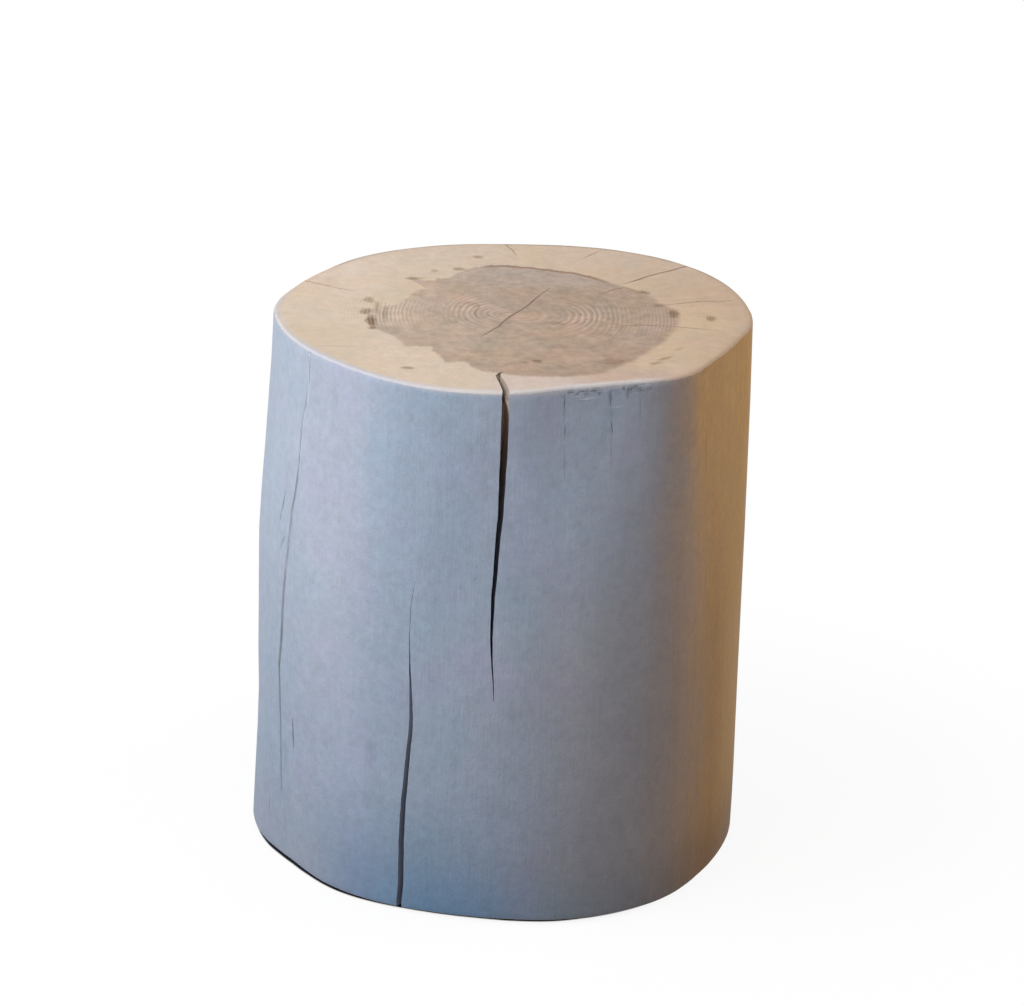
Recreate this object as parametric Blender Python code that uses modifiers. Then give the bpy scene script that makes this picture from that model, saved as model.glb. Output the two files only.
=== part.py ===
"""Block stool: a solid debarked log with a bare sawn seat, a washed side and four nail-on felt glides.

Metres, +Z up. The origin is on the floor, under the middle of the stool's outline.
"""
import math

import bmesh
import bpy
from mathutils import Vector

# Log: the outline tables below give its shape, as shares of these two radii
LOG_HEIGHT = 0.440
TOP_RADIUS = 0.1825
BASE_RADIUS = 0.1895
BELLY = 0.0032
ARRIS = 0.003

# Wash on the side
COAT = 0.0004

# Drying checks: how wide each one gapes, how deep it runs
SEAT_CHECK_WIDTH = 0.0058
SEAT_CHECK_DEPTH = 0.048
FOOT_CHECK_WIDTH = 0.0041
FOOT_CHECK_DEPTH = 0.036
LEFT_CHECK_WIDTH = 0.0018
LEFT_CHECK_DEPTH = 0.010

# Nail-on glides
GLIDE_INSET = 0.060
PLATE_RADIUS = 0.0135
PLATE_THICKNESS = 0.0014
FELT_RADIUS = 0.0125
FELT_THICKNESS = 0.0020
FELT_EDGE = 0.0004
NAIL_RADIUS = 0.0010
NAIL_LENGTH = 0.020
NAIL_POINT = 0.003
HEAD_RADIUS = 0.0035
HEAD_THICKNESS = 0.0006

# Clearance between pieces that touch, and how far a cutter runs past what it cuts
GAP = 0.0003
OVERRUN = 0.002

# Counts and angles
LOG_SIDES = 96
LOG_ROWS = 8
ARRIS_STEPS = 3
ROUND_STEPS = 32
GLIDE_COUNT = 4
FIRST_GLIDE_BEARING = 45
ARRIS_ANGLE = 60
SMOOTH_ANGLE = 40

# Heights above the floor that follow from those sizes
PLATE_BOTTOM = FELT_THICKNESS + GAP
LOG_BOTTOM = PLATE_BOTTOM + PLATE_THICKNESS + GAP

# Bearing in degrees from +X towards +Y, then the top's and the base's radius as shares of their mean radii
OUTLINE_SHARES = (
    (0, 1.022, 1.011),
    (15, 1.033, 1.016),
    (30, 1.049, 1.021),
    (45, 1.049, 1.016),
    (60, 1.022, 0.995),
    (75, 0.978, 0.974),
    (90, 0.945, 0.968),
    (105, 0.951, 0.968),
    (120, 0.967, 0.974),
    (135, 0.984, 0.989),
    (150, 0.984, 1.005),
    (165, 1.005, 1.032),
    (180, 1.044, 1.047),
    (195, 1.038, 1.037),
    (210, 1.027, 1.011),
    (225, 1.016, 1.003),
    (240, 1.022, 0.984),
    (255, 1.016, 0.966),
    (270, 0.989, 0.971),
    (285, 0.932, 1.000),
    (300, 0.945, 1.016),
    (315, 1.011, 1.021),
    (330, 0.981, 1.008),
    (345, 0.984, 1.005),
)

# Each check from one end to the other: height share, bearing in degrees, width share, depth share
SEAT_CHECK_SHARES = (
    (1.00, -91.1, 1.00, 1.00),
    (0.95, -91.3, 0.90, 0.95),
    (0.87, -91.4, 0.78, 0.86),
    (0.79, -91.5, 0.72, 0.77),
    (0.72, -92.2, 0.64, 0.68),
    (0.64, -92.6, 0.46, 0.54),
    (0.57, -92.8, 0.30, 0.38),
    (0.49, -92.5, 0.16, 0.22),
    (0.42, -91.8, 0.08, 0.10),
)
FOOT_CHECK_SHARES = (
    (0.00, -114.2, 0.96, 1.00),
    (0.10, -113.8, 1.00, 0.98),
    (0.20, -113.4, 0.88, 0.84),
    (0.30, -112.5, 0.76, 0.68),
    (0.38, -111.8, 0.57, 0.50),
    (0.46, -112.3, 0.26, 0.26),
    (0.52, -112.7, 0.12, 0.12),
)
LEFT_CHECK_SHARES = (
    (0.79, -149.3, 0.34, 0.30),
    (0.70, -151.3, 0.80, 0.70),
    (0.62, -152.6, 0.90, 0.90),
    (0.54, -154.6, 0.90, 1.00),
    (0.43, -155.3, 1.00, 1.00),
    (0.37, -156.4, 0.80, 0.80),
    (0.29, -155.6, 0.70, 0.70),
    (0.13, -154.3, 0.34, 0.30),
)
SEAT_CHECK_LEAN = -3.3
FOOT_CHECK_LEAN = 1.5
LEFT_CHECK_LEAN = 0.0

# Colours, as sRGB values from 0 to 1
WOOD_COLOUR = (0.80, 0.71, 0.62)
WASH_COLOUR = (0.55, 0.60, 0.68)
PLATE_COLOUR = (0.16, 0.14, 0.13)
FELT_COLOUR = (0.36, 0.33, 0.30)
NAIL_COLOUR = (0.62, 0.62, 0.60)


def clear_scene():
    """Take out whatever the file held before."""
    for old in list(bpy.data.objects):
        bpy.data.objects.remove(old)


def new_collection(name):
    """A collection linked to the scene."""
    collection = bpy.data.collections.new(name)
    bpy.context.scene.collection.children.link(collection)
    return collection


def linear(channel):
    """One sRGB value as linear light."""
    if channel <= 0.04045:
        return channel / 12.92
    return ((channel + 0.055) / 1.055) ** 2.4


def new_material(name, colour, roughness, metallic=0.0):
    """A Principled material of one colour."""
    material = bpy.data.materials.new(name)
    material.use_nodes = True
    shader = material.node_tree.nodes["Principled BSDF"]
    shader.inputs["Base Color"].default_value = (*[linear(channel) for channel in colour], 1.0)
    shader.inputs["Roughness"].default_value = roughness
    shader.inputs["Metallic"].default_value = metallic
    return material


def between_points(values, place):
    """Catmull-Rom value at a place on a closed table, counted in its steps."""
    step = math.floor(place)
    part = place - step
    before, here, after, beyond = [values[(step + shift) % len(values)] for shift in (-1, 0, 1, 2)]
    straight = (after - before) * part
    square = (2 * before - 5 * here + 4 * after - beyond) * part ** 2
    cube = (3 * here - before - 3 * after + beyond) * part ** 3
    return here + (straight + square + cube) / 2


def log_radius(bearing, height_share):
    """The log's radius at a bearing in degrees and a share of its height."""
    place = bearing / 360 * len(OUTLINE_SHARES)
    top = TOP_RADIUS * between_points([row[1] for row in OUTLINE_SHARES], place)
    base = BASE_RADIUS * between_points([row[2] for row in OUTLINE_SHARES], place)
    bulge = 4 * height_share * (1 - height_share)
    left_side = (1 - math.cos(math.radians(bearing))) / 2
    return base + (top - base) * height_share + BELLY * left_side * bulge


def around(bearing, radius, height):
    """A point at a bearing in degrees, a radius and a height from the log's base."""
    turn = math.radians(bearing)
    return Vector((radius * math.cos(turn), radius * math.sin(turn), height))


def outline_middle():
    """Middle of the washed log's outline, seen from above."""
    stand_off = GAP + COAT
    points = []
    for row in range(LOG_ROWS + 1):
        for side in range(LOG_SIDES):
            bearing = 360 * side / LOG_SIDES
            points.append(around(bearing, log_radius(bearing, row / LOG_ROWS) + stand_off, 0))
    middle_x = (min(point.x for point in points) + max(point.x for point in points)) / 2
    middle_y = (min(point.y for point in points) + max(point.y for point in points)) / 2
    return Vector((middle_x, middle_y, 0))


def place_object(name, mesh, collection, axis, location=(0, 0, 0), material=None):
    """An object for the mesh, carried by the log's axis."""
    mesh.name = name
    if material:
        mesh.materials.append(material)
    placed = bpy.data.objects.new(name, mesh)
    collection.objects.link(placed)
    placed.parent = axis
    placed.location = location
    return placed


def mesh_from(bm):
    """A smooth-shaded mesh from the bmesh, with its corners kept sharp."""
    mesh = bpy.data.meshes.new("mesh")
    bm.to_mesh(mesh)
    bm.free()
    mesh.shade_smooth()
    mesh.set_sharp_from_angle(angle=math.radians(SMOOTH_ANGLE))
    return mesh


def log_surface(low, high, stand_off, closed):
    """A cylinder drawn out to the log's outline between two heights, that far off its side."""
    bm = bmesh.new()
    bmesh.ops.create_cone(bm, cap_ends=closed, segments=LOG_SIDES, radius1=BASE_RADIUS,
                          radius2=TOP_RADIUS, depth=high - low)
    uprights = [edge for edge in bm.edges if edge.verts[0].co.z * edge.verts[1].co.z < 0]
    bmesh.ops.subdivide_edges(bm, edges=uprights, cuts=LOG_ROWS - 1)
    for vert in bm.verts:
        height = vert.co.z + (high + low) / 2
        bearing = math.degrees(math.atan2(vert.co.y, vert.co.x))
        vert.co = around(bearing, log_radius(bearing, height / LOG_HEIGHT) + stand_off, height)
    return mesh_from(bm)


def check_cutter(name, width, depth, lean, shares, collection, axis):
    """A wedge that opens at the side and runs in to an edge, lofted along the check."""
    bm = bmesh.new()
    rings = []
    outside = GAP + COAT + OVERRUN
    for height_share, bearing, width_share, depth_share in shares:
        height = LOG_HEIGHT * height_share
        if height_share == 1:
            height += OVERRUN
        if height_share == 0:
            height -= OVERRUN
        radius = log_radius(bearing, height_share)
        run = depth * depth_share
        half_width = width * width_share / 2 * (run + outside) / run
        half_angle = math.degrees(half_width / radius)
        corners = (
            around(bearing - half_angle, radius + outside, height),
            around(bearing + half_angle, radius + outside, height),
            around(bearing + lean * depth_share, radius - run, height),
        )
        rings.append([bm.verts.new(corner) for corner in corners])
    for ring, following in zip(rings, rings[1:]):
        for index in range(3):
            after = (index + 1) % 3
            bm.faces.new((ring[index], ring[after], following[after], following[index]))
    bm.faces.new(rings[0])
    bm.faces.new(rings[-1])
    bmesh.ops.recalc_face_normals(bm, faces=bm.faces)
    return as_cutter(place_object(name, mesh_from(bm), collection, axis, (0, 0, LOG_BOTTOM)))


def as_cutter(cutter):
    """Keep the object out of the model, as a shape that only cuts."""
    cutter.display_type = "WIRE"
    cutter.hide_render = True
    return cutter


def cut(piece, cutter):
    """Take the cutter's shape out of the piece."""
    boolean = piece.modifiers.new(cutter.name, "BOOLEAN")
    boolean.operation = "DIFFERENCE"
    boolean.object = cutter


def round_edges(piece, width, steps, angle):
    """Round the edges that turn by more than the angle."""
    bevel = piece.modifiers.new("rounding", "BEVEL")
    bevel.width = width
    bevel.segments = steps
    bevel.limit_method = "ANGLE"
    bevel.angle_limit = math.radians(angle)


def disc(radius, thickness):
    """A cylinder that stands on its base."""
    bm = bmesh.new()
    bmesh.ops.create_cone(bm, cap_ends=True, segments=ROUND_STEPS, radius1=radius, radius2=radius,
                          depth=thickness)
    bmesh.ops.translate(bm, verts=bm.verts, vec=(0, 0, thickness / 2))
    return mesh_from(bm)


def turned(name, profile, closed, collection, axis, location, material):
    """A profile of radius and height turned round the vertical axis."""
    bm = bmesh.new()
    points = [bm.verts.new((radius, 0, height)) for radius, height in profile]
    for point, following in zip(points, points[1:]):
        bm.edges.new((point, following))
    if closed:
        bm.edges.new((points[-1], points[0]))
    piece = place_object(name, mesh_from(bm), collection, axis, location, material)
    screw = piece.modifiers.new("turn", "SCREW")
    screw.steps = ROUND_STEPS
    screw.render_steps = ROUND_STEPS
    screw.use_merge_vertices = True
    screw.merge_threshold = 0.00005
    screw.use_smooth_shade = False
    return piece


def make_glide(number, log, parts, cutters, axis, materials):
    """One glide under the log: its plate, the nail through it and the felt that hides the nail."""
    bearing = FIRST_GLIDE_BEARING + 360 * (number - 1) / GLIDE_COUNT
    spot = around(bearing, BASE_RADIUS - GLIDE_INSET, 0)
    hole_radius = NAIL_RADIUS + GAP
    seat_radius = HEAD_RADIUS + GAP
    seat_depth = HEAD_THICKNESS + GAP

    plate_profile = (
        (PLATE_RADIUS, PLATE_THICKNESS),
        (PLATE_RADIUS, 0),
        (seat_radius, 0),
        (seat_radius, seat_depth),
        (hole_radius, seat_depth),
        (hole_radius, PLATE_THICKNESS),
    )
    turned(f"glide_plate_{number}", plate_profile, True, parts, axis,
           spot + Vector((0, 0, PLATE_BOTTOM)), materials["plate"])

    nail_profile = (
        (0, NAIL_LENGTH),
        (NAIL_RADIUS, NAIL_LENGTH - NAIL_POINT),
        (NAIL_RADIUS, HEAD_THICKNESS),
        (HEAD_RADIUS, HEAD_THICKNESS),
        (HEAD_RADIUS, 0),
        (0, 0),
    )
    turned(f"glide_nail_{number}", nail_profile, False, parts, axis,
           spot + Vector((0, 0, PLATE_BOTTOM)), materials["nail"])

    felt = place_object(f"felt_pad_{number}", disc(FELT_RADIUS, FELT_THICKNESS), parts, axis, spot,
                        materials["felt"])
    round_edges(felt, FELT_EDGE, 1, ARRIS_ANGLE)

    hole_top = PLATE_BOTTOM + NAIL_LENGTH + GAP
    hole_bottom = LOG_BOTTOM - OVERRUN
    hole = place_object(f"pilot_hole_{number}", disc(hole_radius, hole_top - hole_bottom), cutters, axis,
                        spot + Vector((0, 0, hole_bottom)))
    cut(log, as_cutter(hole))


def make_stool():
    """The whole stool."""
    clear_scene()
    parts = new_collection("block_stool")
    cutters = new_collection("cutters")
    materials = {
        "wood": new_material("bare_wood", WOOD_COLOUR, 0.62),
        "wash": new_material("blue_grey_wash", WASH_COLOUR, 0.55),
        "plate": new_material("dark_plastic", PLATE_COLOUR, 0.45),
        "nail": new_material("bright_steel", NAIL_COLOUR, 0.35, 1.0),
        "felt": new_material("felt", FELT_COLOUR, 0.95),
    }
    axis = bpy.data.objects.new("log_axis", None)
    parts.objects.link(axis)
    axis.location = -outline_middle()

    checks = [
        check_cutter("seat_check", SEAT_CHECK_WIDTH, SEAT_CHECK_DEPTH, SEAT_CHECK_LEAN,
                     SEAT_CHECK_SHARES, cutters, axis),
        check_cutter("foot_check", FOOT_CHECK_WIDTH, FOOT_CHECK_DEPTH, FOOT_CHECK_LEAN,
                     FOOT_CHECK_SHARES, cutters, axis),
        check_cutter("left_check", LEFT_CHECK_WIDTH, LEFT_CHECK_DEPTH, LEFT_CHECK_LEAN,
                     LEFT_CHECK_SHARES, cutters, axis),
    ]

    log = place_object("log_block", log_surface(0, LOG_HEIGHT, 0, True), parts, axis,
                       (0, 0, LOG_BOTTOM), materials["wood"])
    round_edges(log, ARRIS, ARRIS_STEPS, ARRIS_ANGLE)
    coat = place_object("side_coat", log_surface(ARRIS, LOG_HEIGHT - ARRIS, GAP, False), parts, axis,
                        (0, 0, LOG_BOTTOM), materials["wash"])
    skin = coat.modifiers.new("thickness", "SOLIDIFY")
    skin.thickness = COAT
    skin.offset = 1
    for check in checks:
        cut(log, check)
        cut(coat, check)

    for number in range(1, GLIDE_COUNT + 1):
        make_glide(number, log, parts, cutters, axis, materials)


make_stool()
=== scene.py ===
"""Looks of the block stool: end grain, washed side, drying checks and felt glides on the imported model."""
import math

import bmesh
import bpy
import numpy as np
from mathutils import Matrix, Vector, noise as mesh_noise


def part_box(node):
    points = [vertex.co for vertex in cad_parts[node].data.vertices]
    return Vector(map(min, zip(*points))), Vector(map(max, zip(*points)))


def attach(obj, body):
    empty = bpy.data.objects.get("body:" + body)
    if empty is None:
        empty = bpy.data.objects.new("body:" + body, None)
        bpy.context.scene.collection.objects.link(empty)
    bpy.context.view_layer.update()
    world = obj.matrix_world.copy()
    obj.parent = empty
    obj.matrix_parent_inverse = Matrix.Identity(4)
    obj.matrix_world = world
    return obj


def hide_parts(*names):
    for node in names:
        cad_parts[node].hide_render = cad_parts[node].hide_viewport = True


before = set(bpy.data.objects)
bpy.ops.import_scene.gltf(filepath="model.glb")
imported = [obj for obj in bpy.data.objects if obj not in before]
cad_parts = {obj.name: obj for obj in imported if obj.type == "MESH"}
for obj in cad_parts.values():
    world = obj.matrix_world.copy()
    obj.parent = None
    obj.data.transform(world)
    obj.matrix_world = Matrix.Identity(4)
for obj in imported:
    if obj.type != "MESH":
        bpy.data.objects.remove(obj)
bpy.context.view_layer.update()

# The log's place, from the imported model: its pads stand evenly round its axis
GLIDES = (1, 2, 3, 4)
pad_boxes = [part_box(f"felt_pad_{number}") for number in GLIDES]
AXIS = sum((low + high for low, high in pad_boxes), Vector()) / (2 * len(GLIDES))
LOG_LOW, LOG_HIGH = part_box("log_block")
BASE_Z = LOG_LOW.z
HEIGHT = LOG_HIGH.z - LOG_LOW.z
FELT_RADIUS = (pad_boxes[0][1].x - pad_boxes[0][0].x) / 2
FELT_THICKNESS = pad_boxes[0][1].z - pad_boxes[0][0].z

# Sizes in metres, as in the solid model
TOP_RADIUS = 0.1825
BASE_RADIUS = 0.1895
BELLY = 0.0032
ARRIS = 0.0023
FOOT_ARRIS = 0.0010
WOOD_LIFT = 0.00035
WASH_LIFT = 0.0007
WASH_ROOT = 0.0001

# Bearing in degrees from +X towards +Y, then the top's and the base's radius as shares of their mean radii
OUTLINE_SHARES = (
    (0, 1.022, 1.011), (15, 1.033, 1.016), (30, 1.049, 1.021), (45, 1.049, 1.016),
    (60, 1.022, 0.995), (75, 0.978, 0.974), (90, 0.945, 0.968), (105, 0.951, 0.968),
    (120, 0.967, 0.974), (135, 0.984, 0.989), (150, 0.984, 1.005), (165, 1.005, 1.032),
    (180, 1.044, 1.047), (195, 1.038, 1.037), (210, 1.027, 1.011), (225, 1.016, 1.003),
    (240, 1.022, 0.984), (255, 1.016, 0.966), (270, 0.989, 0.971), (285, 0.932, 1),
    (300, 0.945, 1.016), (315, 1.011, 1.021), (330, 0.981, 1.008), (345, 0.984, 1.005),
)

# Swells of the side beyond that outline: bearing and half angle, then height share and millimetres
SWELLS = (
    (187, 48, (
        (0, 2.6), (0.05, 1.6), (0.1, 0.6), (0.18, -0.8), (0.26, -1.4), (0.34, -0.4), (0.42, 0.1),
        (0.5, 0.8), (0.58, 1.5), (0.665, 0.6), (0.75, -0.8), (0.83, -1.6), (0.91, -2.2), (1, -1.8),
    )),
    (-5, 40, ((0, 0.2), (0.3, 0.3), (0.6, 0.8), (0.85, 0.9), (1, 0.3))),
    (-24, 20, ((0, -3.4), (0.025, -2.4), (0.06, -1), (0.12, 0), (1, 0))),
    (210, 16, ((0, -4.8), (0.03, -3.7), (0.08, -1.6), (0.15, 0), (1, 0))),
)

# Mesh density: bearings round the log, rows down each part of it
COLUMNS = 640
BEARINGS = np.arange(COLUMNS) * 360 / COLUMNS
SEAT_ROWS = 40
ARRIS_ROWS = 6
SIDE_ROWS = 20
FOOT_ROWS = 16
WASH_ROWS = 96
WASH_BACK_ROWS = 20

# A felt disc: columns round it, then radius share and height share down its profile
FELT_COLUMNS = 72
FELT_PROFILE = (
    (0.35, 1), (0.7, 1), (0.93, 0.98), (0.98, 0.86), (0.995, 0.66),
    (1, 0.34), (0.985, 0.14), (0.93, 0.02), (0.7, 0), (0.35, 0),
)

# Growth centre on the sawn faces
PITH_X = -0.007
PITH_Y = -0.0044

# Cutters for checks and flakes, in metres, with depth shares down a check's walls and a path without wander
CUTTER_STEP = 0.004
FINE_CUTTER_STEP = 0.003
LEAST_ROWS = 6
CUT_OUTSIDE = 0.003
CUT_PAST_END = 0.004
CHIP_DEPTH = 0.004
CHIP_CORNERS = 14
WALL_STEPS = (-1, 0, 0.06, 0.16, 0.3, 0.46, 0.62, 0.78, 0.92)
STRAIGHT = ((0, 0), (1, 0))

# The sloping wall: extra rows below the seat, how many half widths it leans over, and by which depth share
LEDGE_ROWS = (0.0005, 0.0025, 0.0045, 0.0070)
LEDGE_LEAN = 1.76
LEDGE_DEPTH = 0.09

# Edges sharper than this are creased, the arris's wear fades over this, and the checks' colours start here
SHARP_DEGREES = 32
ARRIS_FADE = 0.0012
WALL_RADIUS = 0.186

# The three large checks in the side, with height share, bearing, width share and depth share along each,
# depth share and metres of sideways wander, and height share and strength of a sloping wall
SEAT_CHECK = dict(
    width=0.0058, depth=0.048, rough=0.00018, blunt=4,
    rows=(
        (1, -91.3, 1, 1), (0.99, -91.4, 1, 0.5), (0.977, -91.4, 0.98, 0.21),
        (0.944, -91.4, 0.98, 0.23), (0.912, -91.4, 0.98, 0.32), (0.881, -91.4, 0.95, 0.46),
        (0.848, -91.5, 0.89, 0.58), (0.814, -91.6, 0.82, 0.6), (0.784, -91.7, 0.74, 0.58),
        (0.75, -91.9, 0.71, 0.55), (0.717, -92.2, 0.64, 0.52), (0.683, -92.4, 0.59, 0.49),
        (0.652, -92.6, 0.56, 0.46), (0.618, -92.8, 0.5, 0.42), (0.577, -92.9, 0.41, 0.36),
        (0.543, -92.9, 0.34, 0.3), (0.491, -92.5, 0.19, 0.18), (0.458, -92.1, 0.12, 0.11),
        (0.426, -91.8, 0.06, 0.05),
    ),
    wander=((0, 0), (0.12, -0.0003), (0.44, -0.0034), (0.78, -0.0077), (0.92, -0.0069), (1, -0.004)),
    ledge=((0, 0), (0.958, 0), (0.97, 0.22), (0.982, 0.6), (0.992, 1), (1, 0)),
)
FOOT_CHECK = dict(
    width=0.0045, depth=0.019, rough=0.00016, blunt=1,
    rows=(
        (0, -114, 0.94, 1), (0.043, -113.6, 1, 0.97), (0.092, -113.6, 1, 0.88),
        (0.131, -113.6, 1, 0.77), (0.171, -113.5, 0.96, 0.63), (0.21, -113.3, 0.92, 0.5),
        (0.26, -112.8, 0.87, 0.335), (0.3, -112.4, 0.82, 0.275), (0.339, -111.9, 0.76, 0.205),
        (0.379, -111.7, 0.66, 0.16), (0.419, -111.9, 0.52, 0.125), (0.458, -112.2, 0.34, 0.105),
        (0.498, -112.4, 0.19, 0.07), (0.538, -112.6, 0.1, 0.03), (0.597, -112.3, 0.07, 0.015),
        (0.64, -111.6, 0.05, 0.01),
    ),
    wander=((0, 0), (0.5, 0.0006), (1, 0.0014)),
)
LEFT_CHECK = dict(
    width=0.0046, depth=0.0014, rough=0.00024, blunt=1,
    rows=(
        (0.995, -146.9, 0.5, 0.3), (0.951, -146.6, 0.66, 0.36), (0.908, -147, 0.66, 0.36),
        (0.869, -148.4, 0.66, 0.36), (0.825, -148.8, 0.7, 0.4), (0.776, -149, 0.74, 0.48),
        (0.733, -149.6, 0.74, 0.56), (0.693, -150.7, 0.9, 0.62), (0.654, -151.2, 0.9, 0.76),
        (0.624, -151.6, 0.8, 0.76), (0.583, -152.4, 0.95, 0.7), (0.538, -153.3, 0.9, 0.86),
        (0.493, -154.1, 0.92, 0.84), (0.432, -154.6, 1, 1), (0.378, -155.8, 0.9, 0.84),
        (0.33, -155.5, 0.74, 0.7), (0.287, -155.5, 0.66, 0.6), (0.234, -155, 0.6, 0.5),
        (0.181, -154.4, 0.52, 0.36), (0.13, -153.6, 0.36, 0.2),
    ),
    wander=((0, 0), (1, 0.0008)),
)

# Hairline checks in the side: width and depth in millimetres, then height share and bearing along each
HAIRLINES = (
    (2.6, 0.8, ((0.291, -149.2), (0.262, -149), (0.231, -148.5))),
    (2.8, 0.6, ((0.718, -154.5), (0.685, -155.7), (0.652, -156.9))),
    (3, 0.6, ((0.631, -154), (0.62, -154.7), (0.603, -155.6))),
    (0.6, 0.8, ((0.136, -161.6), (0.088, -160.6), (0.038, -159.9))),
    (1.3, 0.6, ((0.99, -76.6), (0.972, -76.6), (0.957, -76.5))),
    (1.1, 0.4, ((0.952, -76.5), (0.945, -76.5), (0.938, -76.4))),
    (1.3, 0.6, ((0.933, -76.4), (0.921, -76.3), (0.907, -76.3))),
    (0.8, 0.3, ((0.9, -76.3), (0.865, -76.2), (0.831, -76.1))),
    (2.6, 0.9, ((0.984, -64.3), (0.974, -64.2), (0.957, -64.3))),
    (0.9, 0.3, ((0.952, -64.1), (0.946, -64.1), (0.941, -64))),
    (1.5, 0.7, ((0.933, -64), (0.922, -63.8), (0.91, -63.6))),
    (0.9, 0.3, ((0.901, -63.7), (0.876, -63.9), (0.846, -63.9))),
    (0.8, 0.3, ((0.981, -56.5), (0.951, -56.4), (0.921, -56.3))),
    (0.7, 0.4, ((0.903, -35.3), (0.83, -34.7), (0.756, -34.1))),
    (1.2, 4, ((0.988, 48), (0.9, 47.2), (0.8, 46.6), (0.69, 45.4), (0.61, 45.2))),
    (0.9, 3, ((0.52, 4.2), (0.43, 5.1), (0.33, 5.6), (0.25, 5.2))),
    (1.4, 6, ((0.012, 96), (0.09, 96.8), (0.19, 96.2), (0.3, 97.6), (0.39, 98.2))),
    (1, 3, ((0.988, 128.4), (0.93, 128.9), (0.85, 128.1), (0.76, 127.6))),
    (0.8, 2.5, ((0.61, 152), (0.52, 151.2), (0.43, 151.7), (0.35, 151.1))),
)

# Radial checks in the seat and in the base, in millimetres: width, depth, then x and y from the log's axis
SEAT_LINES = (
    (1.6, 0.8, ((-180, 64), (-168, 59), (-156, 53), (-141, 44), (-125, 38))),
    (1, 1.2, ((-11, 177), (-8, 164), (-4, 155), (0, 141))),
    (2, 1, ((151, 138), (138, 128), (123, 115), (108, 102), (95, 87), (86, 79))),
    (2.2, 0.6, ((-26, -59), (-18.7, -46), (-11.5, -33), (-8, -20), (-3, -8), (4, 5), (10, 18),
                (14.5, 31), (20, 46), (27, 62))),
    (1.2, 0.3, ((-41, 24), (-34, 20), (-28, 15))),
    (1.4, 0.2, ((-27, 14), (-30, 6), (-31.5, -4), (-30, -13), (-26, -20))),
    (1.4, 0.6, ((113, 28), (134, 37), (148, 43), (163, 43), (175, 49))),
    (1.4, 0.7, ((72, -19), (84, -21), (98, -20), (115, -19), (130, -21), (148, -24), (160, -26))),
    (1.3, 1.3, ((68, 52), (78, 64), (87, 70), (97, 63), (106, 55))),
    (0.9, 0.6, ((69, 163), (60, 149), (54, 140))),
)
FOOT_LINES = (
    (1.8, 9, ((-52, 20), (-30, 9), (-7, -1), (14, -7), (38, -19))),
    (1.2, 6, ((26, 190), (21, 160), (16, 128), (11, 92))),
    (1, 5, ((188, 30), (160, 26), (128, 18), (96, 12))),
    (1, 5, ((-190, 62), (-160, 52), (-130, 42))),
    (0.9, 4, ((70, -170), (62, -146), (50, -118))),
)

# Flakes in the wash below its top edge: bearing, millimetres below the seat, half width and half height
CHIPS = (
    (-75.2, 4.6, 2.2, 0.7), (-73.2, 6, 1, 1.2), (-71.8, 4.2, 2.6, 0.7), (-69, 4.8, 2.8, 1),
    (-67.4, 7, 0.9, 1.2), (-60.8, 4.8, 1.1, 1.5), (-59.2, 6.6, 2.2, 0.8), (-57.6, 4.8, 1.4, 1.7),
    (-56, 7.8, 1.8, 0.7), (14, 4.6, 2, 0.9), (84, 4.6, 1.6, 1), (141, 4.4, 2, 0.9),
)

# Rubbed marks in the wash: bearing, millimetres below the seat, half sizes, strength (below 0 for pale)
SMUDGES = (
    (-74.9, 3.8, 4, 2, 0.3), (-72.6, 4.2, 3.4, 1.8, 0.26), (-70.7, 5.6, 2.8, 3, 0.32),
    (-70.2, 10.6, 8.5, 1.1, -0.8), (-68.3, 4.2, 4.2, 2.2, 0.35), (-64.4, 10.4, 2.4, 6.5, 0.36),
    (-58.6, 4.8, 4.6, 2.2, 0.35), (-59.8, 9, 1.9, 5.4, 0.36), (-56.8, 6.4, 2.6, 3, 0.38),
    (-63, 6, 4, 1.6, 0.2), (-72, 8.6, 6, 0.9, -0.35), (-54.8, 3.8, 2.4, 1.6, -0.4),
    (-62.5, 19.4, 6, 0.9, -0.4), (-54.4, 6.6, 3, 1.6, 0.2), (-121.9, 310, 6, 14, 0.12),
    (-76.6, 16, 1.5, 14, 0.22), (-64, 30, 1.6, 22, 0.16), (-56.5, 22, 1.4, 18, 0.12),
)

# Patches of painted light on the wash: bearing, then height share, each with its core and reach, and colour
# factors
PAINTED_LIGHT_PATCHES = (
    (-63, 6, 22, 0.4, 0.14, 0.27, (1.14, 1.08, 1.04)),
    (-82, 4, 12, 0.78, 0.05, 0.16, (1.08, 1.08, 1.11)),
    (-90, 20, 34, 0.38, 0.1, 0.24, (1.045, 1.02, 1.01)),
)

# How strongly the rings show across the seat: millimetres from the axis, then the share
RING_STRENGTH = (
    (-190, 0.5), (-130, 0.7), (-106, 1), (-84, 0.8), (-74, 0.35), (-62, 0.35), (-52, 0.9),
    (-42, 1.45), (-22, 1.45), (-8, 1.1), (8, 0.55), (26, 0.45), (38, 0.65), (48, 1.15),
    (70, 1.25), (84, 1.05), (96, 0.6), (124, 0.9), (150, 0.6), (190, 0.5),
)

# Heartwood's edge: bearing from the pith in degrees, then radius in millimetres
HEARTWOOD = (
    (-180, 104), (-170, 109), (-158, 115), (-151, 106), (-140, 107), (-133, 111), (-126, 99), (-117, 111),
    (-111, 124), (-105, 117), (-98, 132), (-90, 138), (-82, 142), (-71, 147), (-62, 150), (-51, 143),
    (-37, 135), (-22, 134), (-10, 135), (0, 137), (10, 134), (20, 129), (30, 127), (40, 122), (47, 118),
    (61, 120), (71, 117), (82, 118), (93, 119), (104, 116), (112, 105), (119, 97), (127, 96), (132, 99),
    (135, 111), (139, 87), (157, 86), (171, 87), (175, 103), (180, 104),
)

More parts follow.
